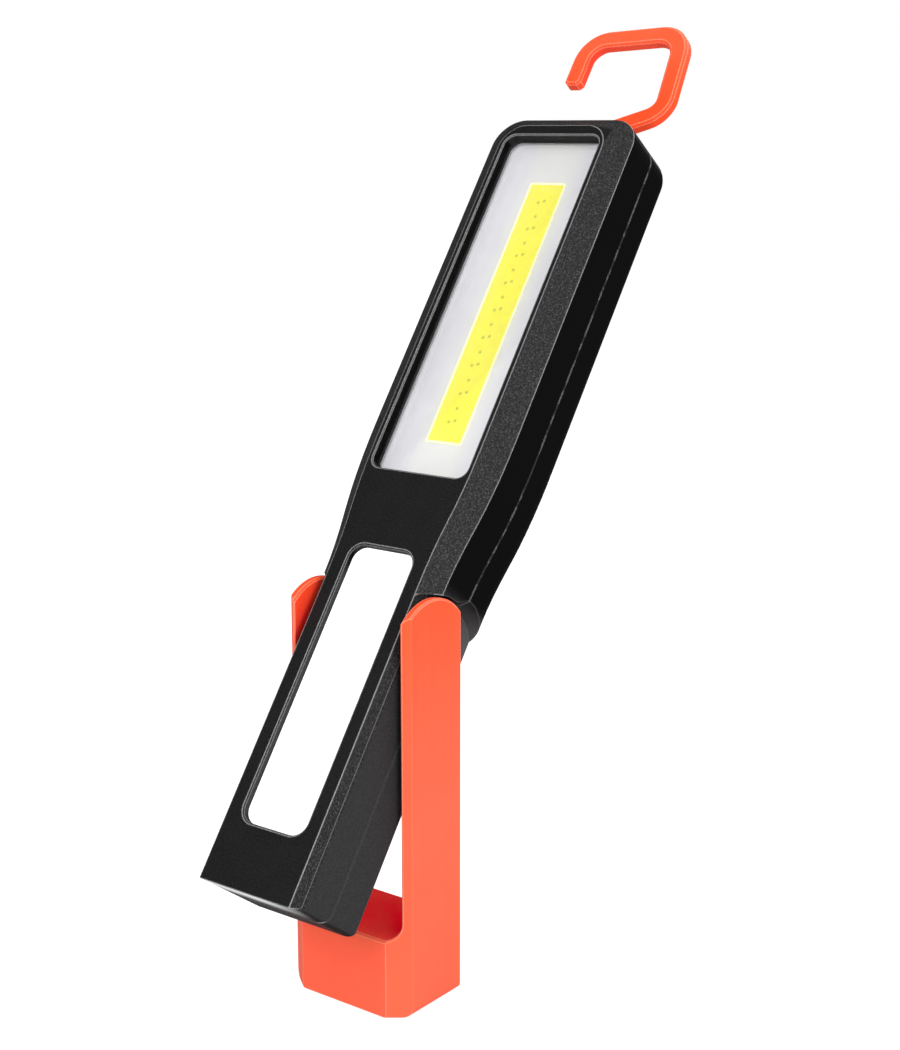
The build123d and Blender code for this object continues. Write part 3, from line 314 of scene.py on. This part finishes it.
def reflector():
    """Pale reflector, tinted yellow near the middle line."""
    mat = new_material("white_reflector")
    coords = mat.lamp_coords()
    x = mat.split(coords)[0]
    broad = mat.noise(coords, scale=0.05, detail=2.0, rough=0.5)
    fine = mat.noise(coords, scale=6.0, detail=2.0)
    cloud = mat.noise(coords, scale=0.25)
    color = mat.mottle(broad, colors=((0.66, 0.655, 0.675), (0.71, 0.705, 0.725)))
    color = mat.mix(mat.remap(cloud, at=(0.4, 0.7), to=(0.0, 0.25)),
                    base=color, top=(0.63, 0.625, 0.645))
    tint = mat.remap(mat.math("ABSOLUTE", x), at=(6.5, 11.0), to=(0.22, 0.0), smooth=True)
    color = mat.mix(tint, base=color, top=(0.80, 0.80, 0.62))
    # painted light: the reflector is given a faint glow
    mat.principled(color, 0.45, mat.bump(fine, strength=0.04), specular=0.3,
                   glow=(color, 0.16))


def phosphor():
    """Yellow strip with die shadows: a pair, then a single one about half a pitch on."""
    mat = new_material("phosphor")
    coords = mat.lamp_coords()
    x, _, along = mat.split(coords)
    pitch = 9.55
    first_pair = 147.2     # place of the first pair along the lamp
    margin = 2.0           # each repeat starts this far before its pair
    # centres: x, distance past the pair's place
    centers = ((-1.0, 0.0), (1.0, 0.6), (0.0, 4.6))

    repeats = mat.math("DIVIDE", mat.math("SUBTRACT", along, first_pair - margin), pitch)
    in_repeat = mat.times(mat.math("FRACT", repeats), pitch)

    def shadow(center_x, center_along):
        offset_x = mat.math("SUBTRACT", x, center_x)
        offset_along = mat.math("SUBTRACT", in_repeat, center_along + margin)
        squares = mat.math("ADD", mat.times(offset_x, offset_x),
                           mat.times(offset_along, offset_along))
        return mat.remap(mat.math("SQRT", squares), at=(0.28, 0.70), to=FALL)

    shadows = mat.math("MAXIMUM", *(shadow(*center) for center in centers))
    shadows = mat.times(shadows, mat.window(along, rise=(145.0, 146.0), fall=(227.0, 228.0)))
    color = mat.mottle(mat.noise(coords, scale=0.35),
                       colors=((0.80, 0.755, 0.055), (0.84, 0.79, 0.072)))
    color = mat.mix(shadows, base=color, top=(0.24, 0.26, 0.05), amount=0.62)
    normal = mat.bump(mat.noise(coords, scale=2.0), strength=0.10, distance=0.0002)
    # painted light: the strip is given a faint glow
    mat.principled(color, 0.4, normal, specular=0.2, glow=(color, 0.26))


def mottled(name, colors, rough, scale=300.0, bump=0.08, wear_and_highlight=None, worn_amount=0.4,
            **surface):
    """Two-tone mottled material with fine bump and optional lighter, rubbed edges."""
    edge = 0.0003
    mat = new_material(name)
    coords = mat.coords()
    fine = mat.noise(coords, scale=scale)
    broad = mat.noise(coords, scale=scale * 0.12, rough=0.55)
    color = mat.mottle(broad, colors)
    if wear_and_highlight is not None:
        color = mat.mix(mat.edge_mask(radius=edge * 1.3), base=color, top=wear_and_highlight,
                        amount=worn_amount)
    normal = mat.bump(fine, strength=bump, normal=mat.bevel(radius=edge))
    mat.principled(color, mat.remap(fine, at=(0.25, 0.75), to=rough), normal, **surface)


LONG_GRAIN = (60.0, 2400.0, 2400.0)     # noise drawn out along x
EVEN_GRAIN = (1200.0, 1200.0, 1200.0)


def brushed(name, colors, grain=LONG_GRAIN, rough=0.32):
    """Bare metal."""
    mat = new_material(name)
    lines = mat.noise(mat.stretch(mat.coords(), scale=grain), scale=1.0)
    normal = mat.bump(lines, strength=0.08, normal=mat.bevel(radius=0.0003))
    mat.principled(mat.mottle(lines, colors),
                   mat.remap(lines, at=MIDTONES, to=(rough - 0.06, rough + 0.08)),
                   normal, metallic=1.0)


black_shell()
orange_plastic()
mottled("orange_rubber", colors=((0.88, 0.085, 0.035), (0.94, 0.11, 0.05)), rough=(0.62, 0.75),
        scale=900.0, bump=0.15, specular=0.3, wear_and_highlight=(1.0, 0.3, 0.2), worn_amount=0.3)
white_panel()
clear_lens()
mottled("black_rubber", colors=((0.012, 0.012, 0.012), (0.018, 0.018, 0.018)),
        rough=(0.62, 0.78), scale=900.0, bump=0.2, specular=0.3)
reflector()
mottled("white_board", colors=((0.8, 0.8, 0.79), (0.86, 0.86, 0.85)), rough=(0.3, 0.42),
        scale=500.0)
# painted light: the pale dam is given a faint glow
mottled("pale_dam", colors=((0.93, 0.93, 0.58), (0.96, 0.96, 0.66)), rough=(0.3, 0.42),
        scale=500.0, glow=((0.95, 0.95, 0.60), 0.18))
mottled("led_die", colors=((0.5, 0.5, 0.15), (0.62, 0.62, 0.2)), rough=(0.2, 0.3),
        scale=2000.0)
phosphor()
brushed("aluminium", colors=((0.62, 0.63, 0.64), (0.74, 0.75, 0.76)))
brushed("steel", colors=((0.48, 0.49, 0.50), (0.62, 0.63, 0.64)), grain=EVEN_GRAIN, rough=0.3)
mottled("black_steel", colors=((0.02, 0.02, 0.022), (0.035, 0.035, 0.037)),
        rough=(0.32, 0.45), metallic=0.7, scale=900.0, bump=0.1, wear_and_highlight=(0.3, 0.3, 0.31))
mottled("green_board", colors=((0.012, 0.10, 0.04), (0.02, 0.14, 0.055)), rough=(0.3, 0.42),
        scale=700.0)
mottled("chip_black", colors=((0.02, 0.02, 0.02), (0.03, 0.03, 0.03)), rough=(0.5, 0.65),
        scale=1500.0)
brushed("capacitor_can", colors=((0.6, 0.62, 0.64), (0.7, 0.71, 0.73)))
mottled("switch_white", colors=((0.75, 0.75, 0.72), (0.8, 0.8, 0.78)), rough=(0.4, 0.5))
mottled("frosted_bar", colors=((0.62, 0.66, 0.66), (0.70, 0.74, 0.74)), rough=(0.35, 0.5),
        scale=800.0, transmission=0.35)
mottled("cell_wrap", colors=((0.01, 0.12, 0.30), (0.015, 0.15, 0.36)), rough=(0.18, 0.3),
        scale=120.0)
brushed("nickel", colors=((0.6, 0.58, 0.52), (0.7, 0.68, 0.62)))
mottled("lead_red", colors=((0.35, 0.01, 0.01), (0.45, 0.02, 0.02)), rough=(0.35, 0.5))
mottled("lead_black", colors=((0.012, 0.012, 0.012), (0.02, 0.02, 0.02)), rough=(0.35, 0.5))
mottled("nylon", colors=((0.7, 0.69, 0.64), (0.78, 0.77, 0.72)), rough=(0.4, 0.55))
brushed("magnet_plate", colors=((0.62, 0.62, 0.63), (0.72, 0.72, 0.73)), grain=EVEN_GRAIN,
        rough=0.16)

slot_of = {part["node"]: part["material_slot"] for part in frame["record"]["subparts"]}
for name, piece in frame["nodes"].items():
    material = MATERIALS[slot_of[name]]
    if not piece.material_slots:
        piece.data.materials.append(material)
    for slot in piece.material_slots:
        slot.link = "OBJECT"
        slot.material = material


# ---------------------------------------------------------------- floor and world

scene = bpy.context.scene


def add_object(name, data):
    added = bpy.data.objects.new(name, data)
    scene.collection.objects.link(added)
    return added


def floor_material():
    """Light grey that glows: brightest to the camera, faint in reflections."""
    mat = new_material("floor")
    noise = mat.noise(mat.coords(), scale=14.0, detail=2.0, rough=0.5)
    color = mat.mottle(noise, colors=((0.34, 0.34, 0.34), (0.36, 0.36, 0.36)))
    rays = mat.node("LightPath").outputs
    base_glow, camera_glow = 0.42, 0.55
    glow = mat.math("ADD", mat.times(rays["Is Camera Ray"], camera_glow), base_glow)
    glow = mat.times(glow, mat.remap(rays["Is Glossy Ray"], at=RISE, to=(1.0, 0.12)))
    mat.principled(color, 0.9, mat.bump(noise, strength=0.02, distance=0.0002),
                   specular=0.0, glow=((0.9, 0.9, 0.9), glow))
    return MATERIALS["floor"]


def add_floor():
    mesh = bpy.data.meshes.new("floor")
    grid = bmesh.new()
    bmesh.ops.create_grid(grid, x_segments=8, y_segments=8, size=4.0)
    grid.to_mesh(mesh)
    grid.free()
    floor = add_object("floor", mesh)
    floor.location = (0, 0, -0.0003)    # just under the lamp, clear of its lowest faces
    mesh.materials.append(floor_material())


def add_world():
    """White surroundings, with a separate strength for each kind of ray."""
    scene.world = bpy.data.worlds.new("world")
    sky = Shader(scene.world, "OutputWorld")

    def white(strength):
        return sky.node("Background", {0: (1, 1, 1), 1: strength}).outputs[0]

    rays = sky.node("LightPath").outputs
    unseen = sky.mix_shader(rays["Is Glossy Ray"], white(strength=0.55), white(strength=0.07))
    sky.finish(sky.mix_shader(rays["Is Camera Ray"], unseen, white(strength=1.0)))


add_floor()
add_world()


# ---------------------------------------------------------------- lights


def area(name, place, target, size, power):
    light = bpy.data.lights.new(name, "AREA")
    light.shape = "RECTANGLE"
    light.size, light.size_y = size
    light.energy = power
    light.specular_factor = 0.14
    holder = add_object(name, light)
    holder.location = place
    aim = Vector(target) - Vector(place)
    holder.rotation_euler = aim.to_track_quat("-Z", "Y").to_euler()


area("key", place=(0.10, -1.10, 0.95), target=(0, 0.03, 0.15), size=(1.0, 0.9), power=15.0)
area("fill", place=(1.10, -0.30, 0.40), target=(0, 0.03, 0.12), size=(0.7, 0.9), power=9.0)
area("rim", place=(0.3, 0.9, 0.9), target=(0, 0.03, 0.15), size=(0.9, 0.6), power=8.0)


# ---------------------------------------------------------------- camera

CAMERA_PLACE = (0.3178, -0.3791, 0.2470)
CAMERA_RIGHT = Vector((0.7942, 0.6078, 0.0))
CAMERA_UP = Vector((-0.1296, 0.1693, 0.9771))
CAMERA_FORWARD = Vector((-0.5937, 0.7760, -0.2132))

lens = bpy.data.cameras.new("camera")
lens.sensor_fit = "VERTICAL"
lens.sensor_height = 36.0
lens.lens = 62.02
camera = bpy.data.objects.new("camera", lens)
turn = Matrix((CAMERA_RIGHT, CAMERA_UP, -CAMERA_FORWARD)).transposed()
camera.matrix_world = Matrix.Translation(CAMERA_PLACE) @ turn.to_4x4()
scene.collection.objects.link(camera)
scene.camera = camera
scene.view_settings.view_transform = "Standard"
scene.view_settings.look = "None"
